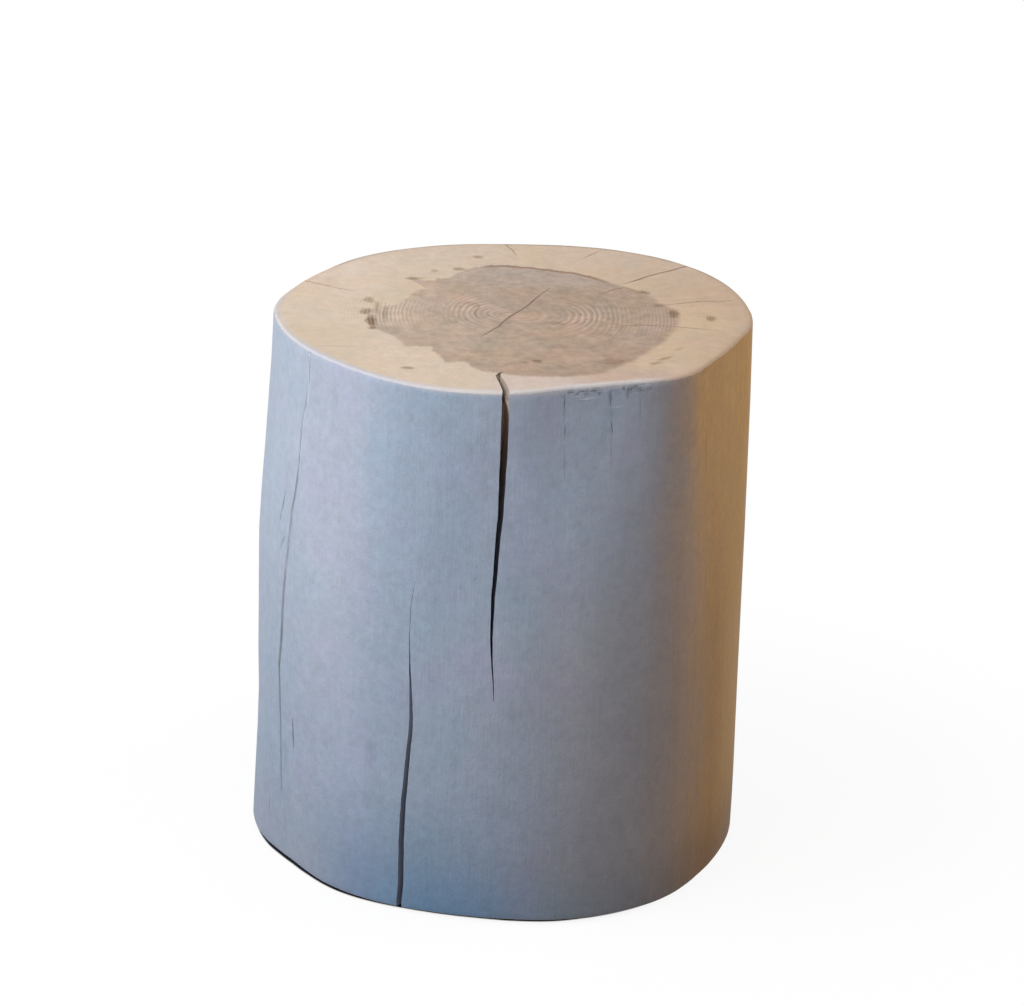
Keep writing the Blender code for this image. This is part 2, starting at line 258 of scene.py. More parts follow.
# Brown stains on the seat: x, y, long and short half sizes in millimetres, turn in degrees, strength
STAINS = (
    (-116, 18, 5.5, 8, 0, 0.5), (-117, -9, 5.5, 9, 0, 0.65), (-112, -31, 5, 15, 6, 0.85),
    (-111, -47, 4, 4.5, 0, 0.55), (-109, 1, 2.6, 16, 0, 0.4), (-102, -12, 2.2, 22, 0, 0.4),
    (-46, 102, 6.5, 5, 10, 0.6), (-32, 135, 4.5, 4, 0, 0.5), (-66, 95, 3.5, 3.5, 0, 0.35),
    (-82, 75, 8, 4, 8, 0.6), (-80, -135, 6, 3.5, 0, 0.6), (-137, -92, 14, 2, 0, 0.25),
    (126, 10, 5, 11, 0, 0.7), (154, 2, 4.6, 7, 15, 0.6), (109, -106, 6, 3.4, 40, 0.5),
    (114, 29, 4, 4, 0, 0.45), (30, -22, 16, 4.5, 0, 0.3), (-10, -24, 14, 4, 0, 0.18),
    (117, -94, 8, 3, 40, 0.5), (127, -72, 6, 2.6, 40, 0.28), (18, -110, 4.2, 4.2, 0, 0.65),
    (8, -114, 4, 3, 0, 0.3), (103, 60, 6, 4, 150, 0.7), (77, -105, 15, 9, 20, 0.38),
    (-33, 17, 8, 3, 150, 0.25),
)

# Camera, as found from the photograph: metres and degrees, from the log's axis and its base
CAMERA_X = 0.0028
CAMERA_BACK = 3.2092
CAMERA_UP = 1.5613
CAMERA_PITCH = 21.775
CAMERA_ROLL = 1.974
FOCAL_PIXELS = 4310.3
IMAGE_WIDTH = 1024
SENSOR_MM = 36.0

# Square lamps, with place and watts each, and how bright the surround is to all but the camera
LAMPS = (
    ("left", (-1.7, -0.5, 1.45), 26),
    ("front_left", (-1.4, -1.3, 1.45), 19),
    ("right", (1.9, 0.3, 1.3), 15),
)
LAMP_TARGET = (0, 0, 0.25)
LAMP_SIZE = 1.4
SURROUND = 0.42


def between_points(values, place):
    """Catmull-Rom values at places on a closed table, counted in its steps."""
    step = np.floor(place).astype(int)
    part = place - step
    before, here, after, beyond = [values[(step + shift) % len(values)] for shift in (-1, 0, 1, 2)]
    straight = (after - before) * part
    square = (2 * before - 5 * here + 4 * after - beyond) * part ** 2
    cube = (3 * here - before - 3 * after + beyond) * part ** 3
    return here + (straight + square + cube) / 2


def outline(bearing, share):
    """The log's radius at bearings in degrees and shares of its height."""
    table = np.array(OUTLINE_SHARES)
    place = np.asarray(bearing, float) / 360 * len(table)
    top = TOP_RADIUS * between_points(table[:, 1], place)
    base = BASE_RADIUS * between_points(table[:, 2], place)
    left_side = (1 - np.cos(np.radians(bearing))) / 2
    radius = base + (top - base) * share + BELLY * left_side * 4 * share * (1 - share)
    for centre, half_angle, rows in SWELLS:
        away = (np.asarray(bearing, float) - centre + 180) % 360 - 180
        shares, shifts = np.array(rows).T
        radius = radius + np.exp(-(away / half_angle) ** 2) * np.interp(share, shares, shifts) / 1000
    return radius


def noise_at(points, scales, seed):
    """Smooth noise from -1 to 1 at rows of points, with its own scale along each axis."""
    scaled = np.asarray(points) * np.asarray(scales)
    return np.array([mesh_noise.noise(Vector(row) + Vector((seed, 0, 0))) for row in scaled])


def ring_points(radius, height, bearing=BEARINGS):
    """Points round the log's axis, one for each bearing."""
    turn = np.radians(bearing)
    return np.stack([radius * np.cos(turn), radius * np.sin(turn), np.broadcast_to(height, turn.shape)], -1)


def line_points(values):
    """Points along a line, to take noise at."""
    return np.stack([values, np.zeros(len(values)), np.zeros(len(values))], 1)


def path_lengths(points):
    """How far each point of a path lies from its start."""
    return np.concatenate([[0], np.cumsum(np.linalg.norm(np.diff(points, axis=0), axis=1))])


def relief(bearing, height):
    """How far the side stands in or out of its plain outline, in metres."""
    points = ring_points(BASE_RADIUS, height, bearing)
    swell = 0.0004 * noise_at(points, (13, 13, 4), 3.1)
    flutes = 0.00014 * noise_at(points, (60, 60, 5), 7.7)
    return swell + flutes


def side_ring(height, lift):
    """A ring of the side, lifted from its outline."""
    radius = outline(BEARINGS, height / HEIGHT) + lift + relief(BEARINGS, height)
    return ring_points(radius, height)


def loft(name, rings, closed_loop):
    """A closed mesh through rings of points: a loop of them, or capped by a point at each end."""
    count = len(rings[0])
    last = len(rings) if closed_loop else len(rings) - 1
    points = np.concatenate(rings)
    index = np.arange(count)
    following = (index + 1) % count
    here = np.arange(last)[:, None] * count
    below = (here + count) % len(points)
    quads = np.stack([here + following, here + index, below + index, below + following], -1)
    faces = quads.reshape(-1, 4).tolist()
    if not closed_loop:
        first_cap, last_cap, base = len(points), len(points) + 1, last * count
        points = np.concatenate([points, (rings[0].mean(0), rings[-1].mean(0))])
        steps = list(zip(index.tolist(), following.tolist()))
        faces += [(first_cap, step, after) for step, after in steps]
        faces += [(last_cap, base + after, base + step) for step, after in steps]
    mesh = bpy.data.meshes.new(name)
    mesh.from_pydata(points.tolist(), [], faces)
    mesh.validate()
    return mesh


def log_mesh():
    """The whole log: seat, rounded arrises, side and base."""
    around = ring_points(1, 0)
    arris_top = ARRIS * (1 + 0.25 * noise_at(around, (5, 5, 1), 1.3))
    arris_foot = FOOT_ARRIS * (1 + 0.25 * noise_at(around, (5, 5, 1), 4.9))
    top = outline(BEARINGS, 1) + WOOD_LIFT + relief(BEARINGS, HEIGHT)
    base = outline(BEARINGS, 0) + WOOD_LIFT + relief(BEARINGS, 0)
    turns = np.pi / 2 * np.arange(1, ARRIS_ROWS) / ARRIS_ROWS
    curves = list(zip(1 - np.sin(turns), 1 - np.cos(turns)))
    rings = []
    for row in range(1, SEAT_ROWS + 1):
        rings.append(ring_points((top - arris_top) * row / SEAT_ROWS, HEIGHT))
    for inset, drop in curves:
        rings.append(ring_points(top - arris_top * inset, HEIGHT - arris_top * drop))
    for row in range(SIDE_ROWS + 1):
        share = 1 - row / SIDE_ROWS
        rings.append(side_ring((HEIGHT - arris_top) * share + arris_foot * (1 - share), WOOD_LIFT))
    for drop, inset in curves:
        rings.append(ring_points(base - arris_foot * inset, arris_foot * drop))
    for row in range(FOOT_ROWS, 0, -1):
        rings.append(ring_points((base - arris_foot) * row / FOOT_ROWS, 0))
    return loft("log_wood", rings, False)


def wash_mesh():
    """The wash: a thin skin on the side, feathered at its top and bottom edges."""
    around = ring_points(1, 0)
    high = HEIGHT - ARRIS * (0.85 + 0.25 * noise_at(around, (30, 30, 1), 2.2))
    low = FOOT_ARRIS * (0.6 + 0.2 * noise_at(around, (24, 24, 1), 8.4))
    shares = np.insert(np.linspace(1, 0, WASH_ROWS), [1, WASH_ROWS - 1], [0.9965, 0.0035])
    rings = []
    for share in shares:
        rings.append(side_ring(low + (high - low) * share, WASH_LIFT if 0 < share < 1 else WOOD_LIFT))
    for row in range(WASH_BACK_ROWS + 1):
        rings.append(side_ring(low + (high - low) * (row / WASH_BACK_ROWS), WASH_ROOT))
    return loft("side_wash", rings, True)


def cutter_mesh(points, size):
    """A closed mesh through loops of points that follow each other."""
    faces = []
    for here in range(0, len(points) - size, size):
        for step in range(size):
            after = (step + 1) % size
            faces.append((here + step, here + after, here + size + after, here + size + step))
    faces += [tuple(range(size)), tuple(range(len(points) - size, len(points)))]
    mesh = bpy.data.meshes.new("cutter")
    mesh.from_pydata(points.tolist(), [], faces)
    return mesh


def wedge(spots, inwards, sideways, widths, depths, wander, rough, seed, blunt=1, ledge=None):
    """A cutter that opens at the spots and narrows to an edge, with fibrous walls, one perhaps sloping."""
    along = path_lengths(spots)
    wander_at, wander_by = np.array(wander).T
    deepest = depths / depths.max()
    columns = []
    for side in (-1, 1):
        for step in WALL_STEPS:
            run = np.where(step < 0, -CUT_OUTSIDE, step * depths)
            half = widths / 2 * (1 - max(step, 0) ** blunt) ** 0.8
            if step < 0:
                half = half + CUT_OUTSIDE * 0.15
            probe = np.stack([along, np.full_like(along, step), np.full_like(along, side)], 1)
            rag = noise_at(probe, (160, 3, 5), seed) + 0.5 * noise_at(probe, (420, 5, 5), seed + 9)
            half = half + np.clip(rough * rag, -0.4 * half, 0.4 * half)
            if ledge is not None and side > 0:
                half = half * (1 - LEDGE_LEAN * ledge * min(max(step, 0) / LEDGE_DEPTH, 1))
            drift = np.interp(max(step, 0), wander_at, wander_by) * deepest
            columns.append(spots + inwards * run[:, None] + sideways * (side * half + drift)[:, None])
    tip = spots + inwards * depths[:, None] + sideways * (wander_by[-1] * deepest)[:, None]
    count = len(WALL_STEPS)
    loop = columns[:count] + [tip] + columns[count:][::-1]
    return cutter_mesh(np.stack(loop, 1).reshape(-1, 3), len(loop))


def side_wedge(rows, width, depth, wander, rough, seed, blunt=1, ledge=None):
    """A check in the side, from rows of height share, bearing, width share and depth share."""
    heights, bearings, width_shares, depth_shares = np.array(sorted(rows)).T
    count = max(int((heights[-1] - heights[0]) * HEIGHT / CUTTER_STEP), LEAST_ROWS)
    share = np.linspace(heights[0], heights[-1], count)
    if ledge:
        share = np.union1d(share, 1 - np.array(LEDGE_ROWS) / HEIGHT)
        ledge = np.interp(share, *np.array(ledge).T)
    height = share * HEIGHT
    wobble = noise_at(line_points(height), (60, 1, 1), seed + 3)
    bearing = np.interp(share, heights, bearings) + 0.1 * wobble
    if share[-1] > 0.99:
        height[-1] += CUT_PAST_END
    if share[0] < 0.003:
        height[0] -= CUT_PAST_END
    spots = ring_points(outline(bearing, share) + WASH_LIFT, height, bearing)
    widths = width * np.interp(share, heights, width_shares)
    depths = depth * np.interp(share, heights, depth_shares)
    return wedge(spots, -ring_points(1, 0, bearing), ring_points(1, 0, bearing + 90), widths, depths,
                 wander, rough, seed, blunt, ledge)


def tapered(points):
    """Width and depth shares that rise from both ends of a hairline."""
    return np.clip(0.25 + 1.2 * np.sin(np.linspace(0, 1, len(points)) * math.pi), 0, 1)


def face_wedge(points, width, depth, height, seed):
    """A check in a sawn face, from points in millimetres on it."""
    path = np.array(points) / 1000
    corners = path_lengths(path)
    count = max(int(corners[-1] / FINE_CUTTER_STEP), LEAST_ROWS)
    along = np.linspace(0, corners[-1], count)
    spots = np.stack([np.interp(along, corners, path[:, 0]), np.interp(along, corners, path[:, 1]),
                      np.full(count, height)], 1)
    heading = np.gradient(spots, axis=0)
    heading /= np.linalg.norm(heading, axis=1)[:, None]
    sideways = np.stack([-heading[:, 1], heading[:, 0], np.zeros(count)], 1)
    spots = spots + sideways * (0.0006 * noise_at(line_points(along), (70, 1, 1), seed))[:, None]
    shape = np.interp(along, corners, tapered(points))
    inwards = np.array([[0, 0, -1.0 if height > 0 else 1.0]])
    return wedge(spots, inwards, sideways, width * shape, depth * shape, STRAIGHT, width * 0.15, seed)


def side_check_meshes(checks):
    """Cutters for the large checks in the side."""
    return [side_wedge(seed=11.0 + number, **check) for number, check in enumerate(checks)]


def hairline_meshes():
    """Cutters for the fine dashed checks in the side."""
    made = []
    for number, (width, depth, points) in enumerate(HAIRLINES):
        rows = [(share, bearing, part, part) for (share, bearing), part in zip(points, tapered(points))]
        made.append(side_wedge(rows, width / 1000, depth / 1000, STRAIGHT, width * 0.00015, 31.0 + number))
    return made


def face_check_meshes():
    """Cutters for the fine radial checks in the seat and in the base."""
    made = []
    for lines, height, seed in ((SEAT_LINES, HEIGHT, 51.0), (FOOT_LINES, 0.0, 71.0)):
        for number, (width, depth, points) in enumerate(lines):
            made.append(face_wedge(points, width / 1000, depth / 1000, height, seed + number))
    return made


def chip_meshes():
    """Cutters for the small flakes that are missing just below the wash's top edge."""
    made = []
    for number, (bearing, below, half_width, half_height) in enumerate(CHIPS):
        outwards = ring_points(CHIP_DEPTH, 0, bearing)
        centre = ring_points(outline(bearing, 1) + WOOD_LIFT, HEIGHT - below / 1000, bearing)
        circle = ring_points(1, number * 1.7, np.arange(CHIP_CORNERS) * 360 / CHIP_CORNERS)
        size = 1 + 0.45 * noise_at(circle, (2.1, 2.1, 1), 91.0)
        rim = (np.outer(half_width / 1000 * circle[:, 0] * size, ring_points(1, 0, bearing + 90))
               + np.outer(half_height / 1000 * circle[:, 1] * size, (0, 0, 1)))
        points = np.concatenate([centre - outwards + rim * 0.9, centre + outwards + rim])
        made.append(cutter_mesh(points, CHIP_CORNERS))
    return made


def add_object(name, data):
    """A new object in the scene."""
    made = bpy.data.objects.new(name, data)
    bpy.context.scene.collection.objects.link(made)
    return made


def carve(mesh, cutters, wall_material):
    """The mesh with all the cutters taken out of it, its new walls in their own material."""
    joined = bmesh.new()
    for cutter in cutters:
        joined.from_mesh(cutter)
    bmesh.ops.recalc_face_normals(joined, faces=joined.faces)
    tool_mesh = bpy.data.meshes.new("cutters")
    joined.to_mesh(tool_mesh)
    joined.free()
    tool_mesh.materials.append(wall_material)
    tool = add_object("cutters", tool_mesh)
    body = add_object("body", mesh)
    boolean = body.modifiers.new("carve", "BOOLEAN")
    boolean.operation = "DIFFERENCE"
    boolean.object = tool
    boolean.material_mode = "TRANSFER"
    seen = body.evaluated_get(bpy.context.evaluated_depsgraph_get())
    carved = bpy.data.meshes.new_from_object(seen)
    for temporary in (tool, body):
        bpy.data.objects.remove(temporary)
    carved.shade_smooth()
    carved.set_sharp_from_angle(angle=math.radians(SHARP_DEGREES))
    return carved


def arithmetic(operation, swapped=False):
    """A method of Value for one sum."""
    def method(value, other):
        return calc(operation, other, value) if swapped else calc(operation, value, other)
    return method


class Value:
    """A number, vector, colour or shader that a node gives. It can be added, multiplied and so on."""

    def __init__(self, socket):
        self.socket = socket

    __add__ = __radd__ = arithmetic("ADD")
    __mul__ = __rmul__ = arithmetic("MULTIPLY")
    __sub__ = arithmetic("SUBTRACT")
    __rsub__ = arithmetic("SUBTRACT", swapped=True)
    __truediv__ = arithmetic("DIVIDE")


def add_node(tree, kind, inputs, output=0, **settings):
    """A node in a tree, as the value that one of its outputs gives."""
    made = tree.nodes.new(kind)
    for key, setting in settings.items():
        setattr(made, key, setting)
    for socket, value in inputs.items():
        if isinstance(value, Value):
            tree.links.new(value.socket, made.inputs[socket])
        else:
            made.inputs[socket].default_value = value
    return Value(made.outputs[output])


def node(kind, inputs, output=0, **settings):
    """A node in the tree of the values that feed it."""
    tree = next(value.socket.id_data for value in inputs.values() if isinstance(value, Value))
    return add_node(tree, kind, inputs, output, **settings)


def calc(operation, *values):
    return node("ShaderNodeMath", dict(enumerate(values)), operation=operation)


def vector(x, y, z):
    return node("ShaderNodeCombineXYZ", {0: x, 1: y, 2: z})


def length(x, y):
    return calc("SQRT", x * x + y * y)


def bearing_of(x, y):
    """Bearing in degrees, from -180 to 180."""
    return calc("ARCTAN2", y, x) * (180 / math.pi)


def ramp(value, start, end):
    """0 up to the start, 1 beyond the end, and smooth between; the end may be the lower one."""
    return node("ShaderNodeMapRange", {"Value": value, "From Min": start, "From Max": end},
                interpolation_type="SMOOTHSTEP")


def near(value, centre, core, reach):
    """1 within core of the centre, and 0 beyond reach from it."""
    return ramp(calc("ABSOLUTE", value - centre), reach, core)


def blend(share, first, second):
    """From the first number to the second."""
    return node("ShaderNodeMix", {0: share, 2: first, 3: second}, data_type="FLOAT")


def curve(value, low, high, points, scale):
    """A curve through given points over values from low to high, for points of value and height."""
    drawn = node("ShaderNodeFloatCurve", {"Value": (value - low) / (high - low)})
    mapping = drawn.socket.node.mapping
    line = mapping.curves[0]
    while len(line.points) < len(points):
        line.points.new(0.5, 0.5)
    for point, (at, height) in zip(line.points, points):
        point.location = ((at - low) / (high - low), height / scale)
        point.handle_type = "VECTOR"
    mapping.update()
    return drawn * scale


def noise(where, scales, detail=2.0, roughness=0.5, shift=0.0):
    """Noise that is mostly between -1 and 1, with one scale or one along each axis."""
    scales = scales if isinstance(scales, tuple) else (scales, scales, scales)
    scaled = node("ShaderNodeMapping", {"Vector": where, "Scale": scales, "Location": (0, 0, shift)})
    made = node("ShaderNodeTexNoise", {"Vector": scaled, "Scale": 1.0, "Detail": detail,
                                       "Roughness": roughness})
    return (made - 0.5) * 4.0


def linear(colour):
    """Red, green and blue from 0 to 255 as linear light, or a value as it is."""
    if isinstance(colour, Value):
        return colour
    shares = [channel / 255 for channel in colour]
    return [share / 12.92 if share <= 0.04045 else ((share + 0.055) / 1.055) ** 2.4 for share in shares]


def tint(share, first, second):
    """From the first colour to the second."""
    return node("ShaderNodeMix", {0: share, 4: linear(first), 5: linear(second)}, 1, data_type="VECTOR")


def tinted(colour, *layers):
    """The colour under layers of a share and a colour each."""
    for share, layer in layers:
        colour = tint(share, colour, layer)
    return colour


def multiplied(colour, factors):
    """The colour with its red, green and blue multiplied by three factors."""
    return node("ShaderNodeVectorMath", {0: linear(colour), 1: factors}, operation="MULTIPLY")


def shaded(colour, factor):
    """The colour made lighter or darker by a factor."""
    return multiplied(colour, vector(factor, factor, factor))


def warmer(colour, amount):
    """The colour made redder and less blue, or the other way for amounts below 0."""
    return multiplied(colour, vector(amount + 1.0, 1.0, 1.0 - amount))


def new_material(name):
    """A material with nothing in it yet, and the point's place in the piece's own frame."""
    material = bpy.data.materials.new(name)
    material.use_nodes = True
    material.node_tree.nodes.clear()
    return material, add_node(material.node_tree, "ShaderNodeTexCoord", {}, "Object")


def split(where):
    """The x, y and z of a place."""
    return [node("ShaderNodeSeparateXYZ", {0: where}, axis) for axis in range(3)]


def show(tree, kind, surface):
    """Make a shader what a material or the world shows."""
    tree.links.new(surface.socket, tree.nodes.new(kind).inputs["Surface"])


def finish(material, colour, roughness, height, depth, specular=0.5, metallic=0.0):
    """The material with a Principled surface, which bumps of that height and depth roughen."""
    bumps = node("ShaderNodeBump", {"Strength": 1.0, "Distance": depth, "Height": height})
    surface = node("ShaderNodeBsdfPrincipled", {
        "Base Color": colour, "Roughness": roughness, "Normal": bumps,
        "Specular IOR Level": specular, "Metallic": metallic})
    show(material.node_tree, "ShaderNodeOutputMaterial", surface)
    return material


def end_grain():
    """Bare sawn and sanded end grain: cream sapwood, brown heartwood, rings, stains and a pale arris."""
    material, where = new_material("end_grain")
    x, y, z = split(where)
    from_x = x - PITH_X
    from_y = y - PITH_Y
    reach = length(from_x, from_y)
    bearing = bearing_of(from_x, from_y)
    broad = noise(where, (11, 11, 0))
    cloud = noise(where, (26, 26, 0), 3, 0.6)
    patch = noise(where, (62, 62, 0))
    mottle = noise(where, (125, 125, 0), 3, 0.6)
    fine = noise(where, (420, 420, 0), 3, 0.6)
    hue = noise(where, (34, 34, 0), shift=23.8)

    # Rings: off centre, wavy, closer together outwards and flat-sided there
    first_reach = length(from_x, from_y * 1.3)
    drift = 0.013 * (1 - calc("EXPONENT", first_reach * (-1 / 0.028)))
    inner = ramp(length(from_x - 0.022, from_y), 0.066, 0.034)
    flat_side = 0.45 + 0.55 * (from_y * from_y) / (reach * reach + 0.0001)
    squash = calc("SQRT", flat_side + inner * 0.85)
    wave = broad * 0.0012 + patch * 0.0007 + mottle * 0.0002
    ring_reach = length(from_x - drift, from_y * squash) + wave
    count = ring_reach * 118 + ring_reach * ring_reach * 1000
    phase = calc("FRACT", count)
    each_ring = node("ShaderNodeTexWhiteNoise", {"W": calc("FLOOR", count)}, noise_dimensions="1D")
    latewood = ramp(phase, 0.42, 0.74) * ramp(phase, 1, 0.84)
    earlywood = ramp(phase, 0, 0.12) * ramp(phase, 0.45, 0.22)
    sideways = calc("ABSOLUTE", from_x) / (reach + 0.001)
    eye = ramp(first_reach, 0.034, 0.014)
    ring_power = (0.35 + 0.65 * each_ring) * (0.35 + 0.65 * ramp(cloud, -0.5, 0.5))
    ring_power = ring_power * blend(eye, 0.35 + 0.65 * sideways * sideways, 0.8)
    ring_power = ring_power * (0.34 + 0.66 * near(from_y + patch * 0.003, 0.001, 0.013, 0.042))

    # Heartwood with a ragged edge, whose left lobe breaks up into separate rings
    edge = curve(bearing, -180, 180, HEARTWOOD, 200) / 1000
    turn = bearing * (math.pi / 180)
    along_rays = vector(calc("COSINE", turn) * 13, calc("SINE", turn) * 13, reach * 22)
    left = ramp(x, 0.03, -0.05)
    ragged = noise(along_rays, 1, 3, 0.7) * (0.0014 + 0.0022 * left) + mottle * 0.0006
    beyond = reach - edge + ragged
    heart = ramp(beyond / blend(left, 0.0042, 0.0024), 0.6, -1)
    border = near(beyond, -0.0012, 0.0008, 0.0034) * ramp(bearing, 42, 54) * ramp(bearing, 104, 96)
    front_band = near(beyond, -0.007, 0.001, 0.012) * ramp(bearing, 0, -28)
    lobe = ramp(x, -0.07, -0.092) * near(y, -0.008, 0.026, 0.042)
    heart = heart * (1 - lobe * (0.25 + 0.6 * earlywood))

    # Colours across the sapwood: the front, its right, the back left, the front left and the back
    # Darker to the right, partly the wood's own colour and partly painted shade; the darker patch at the
    # front's right is painted shade
    sap = tinted(
        tint(ramp(x, -0.1, 0.17), (217, 198, 178), (204, 176, 150)),
        (near(x, 0.024, 0.012, 0.06) * near(y, -0.164, 0.01, 0.032) * 0.8, (210, 193, 188)),
        (ramp(x, 0.03, 0.08) * ramp(y, -0.095, -0.135) * 0.8, (199, 172, 156)),
        (ramp(x, -0.08, -0.14) * ramp(y, 0.01, 0.07) * 0.8, (229, 208, 193)),
        (ramp(x, -0.09, -0.14) * ramp(y, -0.015, -0.065) * 0.6, (209, 190, 165)),
        (ramp(y, 0.06, 0.16) * 0.45, (217, 196, 177)),
        (ramp(broad, -0.1, 0.7) * 0.45, (214, 192, 158)),
        (ramp(cloud, 0, 0.9) * 0.34, (211, 184, 168)),
        (ramp(cloud, -0.1, -0.9) * 0.34, (209, 194, 177)),
    )

    # Colours across the heartwood, greyer at the back, and darker to the right, partly as painted shade
    core = tinted(
        tint(ramp(x, -0.1, 0.06), (193, 171, 153), (179, 154, 134)),
        (ramp(cloud, 0, 0.8) * 0.42, (189, 157, 143)),
        (ramp(cloud, 0, -0.8) * 0.42, (180, 165, 141)),
        (near(y, 0.088, 0.012, 0.036) * near(x, 0, 0.045, 0.09) * 0.6, (186, 170, 159)),
    )
    colour = warmer(tint(heart, sap, core), hue * blend(heart, 0.026, 0.046))

    # Tone: pale and dark rings, rays, fine grain, the heartwood's borders
    ring_strength = curve(x * 1000, -190, 190, RING_STRENGTH, 2) * ring_power
    ring_strength = ring_strength * blend(heart + lobe * 0.6, 0.18, 0.9)
    colour = tint(earlywood * ring_strength * heart * 0.6, colour, (207, 193, 181))
    tone = 1 + earlywood * ring_strength * 0.07 - latewood * ring_strength * 0.17
    rays = noise(vector(bearing * 1.1, reach * 10, 0), 1)
    tone += rays * 0.022 + broad * heart * 0.03
    tone += cloud * blend(heart, 0.046, 0.08) + patch * blend(heart, 0.031, 0.105)
    tone += mottle * blend(heart, 0.05, 0.112) + fine * blend(heart, 0.028, 0.06)
    tone -= border * 0.16 + front_band * 0.1 * (0.6 + patch * 0.8)
    colour = tint(border * 0.65, shaded(colour, tone), (146, 110, 90))
    for stain_x, stain_y, long_mm, short_mm, angle, strength in STAINS:
        cosine, sine = math.cos(math.radians(angle)), math.sin(math.radians(angle))
        off_x = x - stain_x / 1000
        off_y = y - stain_y / 1000
        along = (off_x * cosine + off_y * sine) / (long_mm / 1000)
        across = (off_y * cosine - off_x * sine) / (short_mm / 1000)
        share = ramp(length(along, across) + mottle * 0.3, 1.25, 0.3)
        colour = tint(share * (1 - earlywood * 0.35) * strength, colour, (114, 84, 52))

    # The arris is pale on the painted side, partly wash and wear and partly a painted highlight from the
    # light above, and stays warm on the right
    from_axis = bearing_of(x, y)
    near_edge = ramp(z, HEIGHT - 0.004, HEIGHT - 0.0026)
    on_arris = add_node(material.node_tree, "ShaderNodeAttribute", {}, "Fac", attribute_name="arris")
    painted = 1 - ramp(from_axis + mottle * 2, -58, -43) * ramp(from_axis, 178, 162)
    pale = tint(ramp(x, -0.11, -0.02), (190, 192, 202), (212, 207, 207))
    bare = shaded(tint(0.6, colour, (196, 157, 124)), 1 + mottle * 0.02)
    pale = tint(painted, bare, shaded(pale, 1 + mottle * 0.03))
    covered = blend(painted, 0.6, 0.88) * (1 - ramp(x, -0.16, -0.184) * 0.35)
    colour = tint(on_arris * near_edge * covered, colour, pale)
    far_rim = ramp(y, 0.06, 0.11) * near_edge * ramp(on_arris, 0.3, 1)
    colour = tint(far_rim * (0.62 + cloud * 0.2), colour, (146, 134, 124))

    # Under the wash the wood is stained grey, and the sawn base is darker, dry and dusty
    on_side = ramp(z, HEIGHT - 0.0023, HEIGHT - 0.003) * ramp(z, 0.0004, 0.001)
    stained = tint(painted, (150, 122, 98), (148, 154, 166))
    colour = tint(on_side, colour, shaded(stained, 1 + mottle * 0.1 + patch * 0.06))
    dusty = shaded(tint(0.45, colour, (150, 132, 112)), 0.86 + cloud * 0.06)
    colour = tint(ramp(z, 0.001, 0.0004), colour, dusty)

    pores = ramp(node("ShaderNodeTexVoronoi", {"Vector": vector(x, y, 0), "Scale": 900}), 0.34, 0.17)
    colour = shaded(colour, 1 - pores * 0.08)
    saw_marks = noise(where, (40, 620, 0))
    height = fine * 0.4 - pores * 0.9 - latewood * ring_power * 0.5 + saw_marks * 0.15
    roughness = 0.62 + cloud * 0.04 + pores * 0.12
    return finish(material, colour, roughness, height, 0.00012, specular=0.35)


def check_walls():
    """Inside the open checks: brown at the lips, paler further in, partly fresh wood and partly painted
    light against the slit's shade, painted light just below the seat and painted shade deep in there.
    """
    material, where = new_material("check_walls")
    x, y, z = split(where)
    inside = WALL_RADIUS - length(x, y)
    below = HEIGHT - z
    fibres = noise(where, (700, 700, 26), 3, 0.6)
    lower = ramp(below, 0.03, 0.15)
    lips = tint(lower, (106, 88, 80), (136, 142, 156))
    # Paler further in, partly fresh wood and partly painted light against the shade in the slit
    inner = tint(lower, (204, 178, 160), (176, 184, 204))
    colour = tint(ramp(inside + fibres * 0.001, 0.001, 0.02), lips, inner)
    # Painted light on the walls just below the seat, and painted shade deep in there
    below_seat_light_and_shade = tint(ramp(below, 0.004, 0.009), (158, 144, 133), (206, 188, 174))
    below_seat_light_and_shade = tint(ramp(inside, 0.037, 0.048) * 0.85, below_seat_light_and_shade, (98, 80, 68))
    colour = tint(ramp(below + fibres * 0.0012, 0.026, 0.004), colour, below_seat_light_and_shade)
    colour = shaded(colour, 1 + fibres * 0.1)
    return finish(material, colour, 0.85 + fibres * 0.04, fibres, 0.0003, specular=0.2)


def hairline_walls():
    """The shallow walls of the finest checks: grey where the wash ran in, brown on the right like the side
    there, partly bare wood and partly painted warm light.
    """
    material, where = new_material("hairline_walls")
    x, y, z = split(where)
    fibres = noise(where, (700, 700, 60), 3, 0.6)
    bearing = bearing_of(x, y)
    share = z / HEIGHT + fibres * 0.02
    left = tint(ramp(share, 0.44, 0.64), (133, 140, 151), (164, 172, 186))
    left = tint(ramp(share, 0.72, 0.84), left, (192, 199, 212))
    seat = tint(ramp(length(x, y), 0.105, 0.13), (164, 142, 128), (174, 150, 130))
    colour = tinted(
        tint(near(bearing, -152, 14, 24), (166, 170, 180), left),
        (near(bearing, -12, 34, 48), (128, 94, 66)),
        (ramp(z, HEIGHT - 0.0034, HEIGHT - 0.0026), seat),
    )
    colour = shaded(colour, 1 + fibres * 0.12)
    return finish(material, colour, 0.8 + fibres * 0.05, fibres, 0.0002, specular=0.2)


